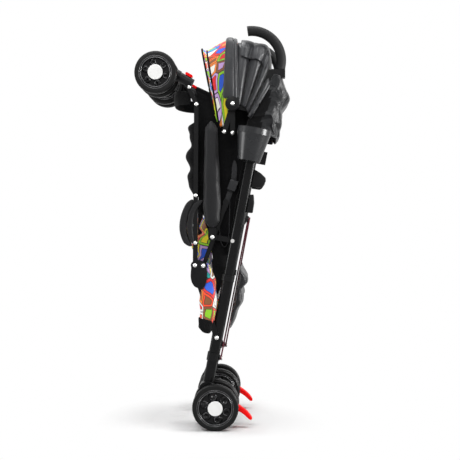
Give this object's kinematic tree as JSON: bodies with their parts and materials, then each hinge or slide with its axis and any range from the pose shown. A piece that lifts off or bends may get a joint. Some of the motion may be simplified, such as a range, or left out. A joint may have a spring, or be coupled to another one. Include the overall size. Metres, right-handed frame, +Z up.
{
  "type": "umbrella stroller",
  "caption": "Folded umbrella stroller with hooked handles, twin rubber wheels, a hinged side linkage, cross brace, canopy, printed seat, padded armrests and a clamp-on cup holder.",
  "frame": {"origin": "on the floor, under the middle of the folded stroller's box", "axes": "+Z up, +X to the stroller's rear, -Y to its left side"},
  "size_m": [0.3962, 0.3616, 1.0651],
  "materials": {
    "black_paint": "satin black powder coat",
    "light_tube": "black coated light tube",
    "foam_grip": "soft foam",
    "black_plastic": "moulded, fine grain",
    "grey_plastic": "moulded, satin",
    "wheel_plastic": "moulded, satin",
    "cap_plastic": "smooth pale grey",
    "red_plastic": "gloss red",
    "tyre": "foam rubber tread",
    "steel": "plated rivets",
    "pad_cloth": "woven cover over foam",
    "black_cloth": "woven polyester",
    "grey_cloth": "woven polyester",
    "print_cloth": "printed polyester"
  },
  "bodies": {
    "left_frame": {"main_tube_left": "black_paint", "handle_grip_left": "foam_grip", "handle_knuckle_left": "black_plastic", "rear_housing_left": "black_plastic", "rear_axle_left": "steel", "side_brackets_left": "black_plastic", "frame_rivets_left": "steel", "cup_holder": "grey_plastic", "cup_clamp": "black_plastic", "canopy_rear": "grey_cloth", "backrest": "black_cloth", "basket": "grey_cloth"},
    "right_frame": {"main_tube_right": "black_paint", "handle_grip_right": "foam_grip", "handle_knuckle_right": "black_plastic", "rear_housing_right": "black_plastic", "rear_axle_right": "steel", "side_brackets_right": "black_plastic", "frame_rivets_right": "steel"},
    "front_leg_left": {"front_leg_left": "light_tube", "swivel_sleeve_left": "black_plastic", "footrest": "black_cloth"},
    "front_leg_right": {"front_leg_right": "light_tube", "swivel_sleeve_right": "black_plastic"},
    "seat_left": {"seat_tube_left": "light_tube", "seat_pad": "print_cloth"},
    "seat_right": {"seat_tube_right": "light_tube"},
    "canopy_left": {"canopy_arm_left": "black_plastic", "canopy_front": "print_cloth"},
    "canopy_right": {"canopy_arm_right": "black_plastic"},
    "lower_link_left": {"link_plates_left": "black_paint", "link_pins_left": "steel"},
    "fork_left": {"front_fork_left": "black_plastic"},
    "front_wheels_left": {"front_tyres_left": "tyre", "front_rims_left": "wheel_plastic", "front_caps_left": "cap_plastic"},
    "rear_wheels_left": {"rear_tyres_left": "tyre", "rear_rims_left": "wheel_plastic", "rear_caps_left": "cap_plastic"},
    "brake_left": {"brake_lever_left": "red_plastic"},
    "armrest_left": {"armrest_arm_left": "black_plastic", "armrest_pad_left": "pad_cloth"},
    "brace_left": {"brace_bar_left": "light_tube"},
    "slider_left": {"brace_slider_left": "black_plastic"},
    "lock_left": {"swivel_lock_left": "red_plastic"},
    "lower_link_right": {"link_plates_right": "black_paint", "link_pins_right": "steel"},
    "fork_right": {"front_fork_right": "black_plastic"},
    "front_wheels_right": {"front_tyres_right": "tyre", "front_rims_right": "wheel_plastic", "front_caps_right": "cap_plastic"},
    "rear_wheels_right": {"rear_tyres_right": "tyre", "rear_rims_right": "wheel_plastic", "rear_caps_right": "cap_plastic"},
    "brake_right": {"brake_lever_right": "red_plastic"},
    "armrest_right": {"armrest_arm_right": "black_plastic", "armrest_pad_right": "pad_cloth"},
    "brace_right": {"brace_bar_right": "light_tube"},
    "slider_right": {"brace_slider_right": "black_plastic"},
    "lock_right": {"swivel_lock_right": "red_plastic"}
  },
  "joints": [
    {"name": "fold", "type": "hinge", "parent": "left_frame", "child": "lower_link_left", "pos_m": [0.01518, -0.0813, 0.24174], "axis": [0, -1, 0], "range_deg": [0, 35], "deforming": ["canopy_front", "canopy_rear", "backrest", "seat_pad", "basket", "footrest"]},
    {"name": "width", "type": "slide", "parent": "left_frame", "child": "right_frame", "axis": [0, 1, 0], "range_m": [0, 0.1471], "deforming": ["canopy_front", "canopy_rear", "backrest", "seat_pad", "basket", "footrest"]},
    {"name": "fold_right", "type": "hinge", "parent": "right_frame", "child": "lower_link_right", "pos_m": [0.01518, 0.1317, 0.24174], "axis": [0, -1, 0], "range_deg": [0, 35.1], "deforming": ["canopy_front", "canopy_rear", "backrest", "seat_pad", "basket", "footrest"]},
    {"name": "front_leg_swing", "type": "hinge", "parent": "lower_link_left", "child": "front_leg_left", "pos_m": [-0.04252, -0.0813, 0.43396], "axis": [0, -1, 0], "range_deg": [0, 102.1], "deforming": ["canopy_front", "canopy_rear", "backrest", "seat_pad", "basket", "footrest"]},
    {"name": "front_leg_spread", "type": "slide", "parent": "front_leg_left", "child": "front_leg_right", "axis": [0, 1, 0], "range_m": [0, 0.1471], "deforming": ["canopy_front", "canopy_rear", "backrest", "seat_pad", "basket", "footrest"]},
    {"name": "seat_swing", "type": "hinge", "parent": "lower_link_left", "child": "seat_left", "pos_m": [-0.02054, -0.0813, 0.43282], "axis": [0, 1, 0], "range_deg": [0, 93.7], "deforming": ["canopy_front", "canopy_rear", "backrest", "seat_pad", "basket", "footrest"]},
    {"name": "seat_spread", "type": "slide", "parent": "seat_left", "child": "seat_right", "axis": [0, 1, 0], "range_m": [0, 0.1471], "deforming": ["canopy_front", "canopy_rear", "backrest", "seat_pad", "basket", "footrest"]},
    {"name": "armrest_left", "type": "hinge", "parent": "left_frame", "child": "armrest_left", "pos_m": [0.00339, -0.0813, 0.50868], "axis": [0, -1, 0], "range_deg": [0, 95.1], "deforming": ["canopy_front", "canopy_rear", "backrest", "seat_pad", "basket", "footrest"]},
    {"name": "brace_left", "type": "hinge", "parent": "left_frame", "child": "brace_left", "pos_m": [0.0249, -0.0813, 0.18593], "axis": [-0.9823, 0, 0.1874], "range_deg": [0, 26.88], "deforming": ["canopy_front", "canopy_rear", "backrest", "seat_pad", "basket", "footrest"]},
    {"name": "slider_left", "type": "slide", "parent": "left_frame", "child": "slider_left", "axis": [-0.1874, 0, -0.9823], "range_m": [0, 0.13648], "deforming": ["canopy_front", "canopy_rear", "backrest", "seat_pad", "basket", "footrest"]},
    {"name": "armrest_right", "type": "hinge", "parent": "right_frame", "child": "armrest_right", "pos_m": [0.00339, 0.1317, 0.50868], "axis": [0, -1, 0], "range_deg": [0, 95.1], "deforming": ["canopy_front", "canopy_rear", "backrest", "seat_pad", "basket", "footrest"]},
    {"name": "brace_right", "type": "hinge", "parent": "right_frame", "child": "brace_right", "pos_m": [0.0249, 0.1317, 0.18593], "axis": [0.9823, 0, -0.1874], "range_deg": [0, 26.88], "deforming": ["canopy_front", "canopy_rear", "backrest", "seat_pad", "basket", "footrest"]},
    {"name": "slider_right", "type": "slide", "parent": "right_frame", "child": "slider_right", "axis": [-0.1874, 0, -0.9823], "range_m": [0, 0.13648], "deforming": ["canopy_front", "canopy_rear", "backrest", "seat_pad", "basket", "footrest"]},
    {"name": "canopy", "type": "hinge", "parent": "left_frame", "child": "canopy_left", "pos_m": [0.05725, -0.0813, 0.85879], "axis": [0, -1, 0], "range_deg": [0, 30], "deforming": ["canopy_front", "canopy_rear"]},
    {"name": "canopy_spread", "type": "slide", "parent": "canopy_left", "child": "canopy_right", "axis": [0, 1, 0], "range_m": [0, 0.1471], "deforming": ["canopy_front", "canopy_rear", "backrest", "seat_pad", "basket", "footrest"]},
    {"name": "rear_wheels_left", "type": "hinge", "parent": "left_frame", "child": "rear_wheels_left", "pos_m": [0.01271, -0.0813, 0.061], "axis": [0, 1, 0], "continuous": true},
    {"name": "brake_left", "type": "hinge", "parent": "left_frame", "child": "brake_left", "pos_m": [0.03671, -0.0813, 0.073], "axis": [0, -1, 0], "range_deg": [0, 22]},
    {"name": "swivel_left", "type": "hinge", "parent": "front_leg_left", "child": "fork_left", "pos_m": [-0.06757, -0.0813, 0.92332], "axis": [-0.866, 0, 0.5], "continuous": true},
    {"name": "front_wheels_left", "type": "hinge", "parent": "fork_left", "child": "front_wheels_left", "pos_m": [-0.1426, -0.0813, 0.93835], "axis": [0, 1, 0], "continuous": true},
    {"name": "swivel_lock_left", "type": "slide", "parent": "front_leg_left", "child": "lock_left", "axis": [-0.866, 0, 0.5], "range_m": [0, 0.004]},
    {"name": "rear_wheels_right", "type": "hinge", "parent": "right_frame", "child": "rear_wheels_right", "pos_m": [0.01271, 0.1317, 0.061], "axis": [0, 1, 0], "continuous": true},
    {"name": "brake_right", "type": "hinge", "parent": "right_frame", "child": "brake_right", "pos_m": [0.03671, 0.1317, 0.073], "axis": [0, -1, 0], "range_deg": [0, 22]},
    {"name": "swivel_right", "type": "hinge", "parent": "front_leg_right", "child": "fork_right", "pos_m": [-0.06757, 0.1317, 0.92332], "axis": [-0.866, 0, 0.5], "continuous": true},
    {"name": "front_wheels_right", "type": "hinge", "parent": "fork_right", "child": "front_wheels_right", "pos_m": [-0.1426, 0.1317, 0.93835], "axis": [0, 1, 0], "continuous": true},
    {"name": "swivel_lock_right", "type": "slide", "parent": "front_leg_right", "child": "lock_right", "axis": [-0.866, 0, 0.5], "range_m": [0, 0.004]}
  ],
  "couplings": [
    {"joint": "width", "follows": "fold", "m_per_rad": 0.24064},
    {"joint": "fold_right", "follows": "fold", "ratio": 1},
    {"joint": "front_leg_swing", "follows": "fold", "ratio": 2.9143},
    {"joint": "front_leg_spread", "follows": "fold", "m_per_rad": 0.24064},
    {"joint": "seat_swing", "follows": "fold", "ratio": 2.6743},
    {"joint": "seat_spread", "follows": "fold", "m_per_rad": 0.24064},
    {"joint": "armrest_left", "follows": "fold", "ratio": 2.7143},
    {"joint": "brace_left", "follows": "fold", "ratio": 0.76502},
    {"joint": "slider_left", "follows": "fold", "m_per_rad": 0.22326},
    {"joint": "armrest_right", "follows": "fold", "ratio": 2.7143},
    {"joint": "brace_right", "follows": "fold", "ratio": 0.76502},
    {"joint": "slider_right", "follows": "fold", "m_per_rad": 0.22326},
    {"joint": "canopy_spread", "follows": "fold", "m_per_rad": 0.24064}
  ]
}
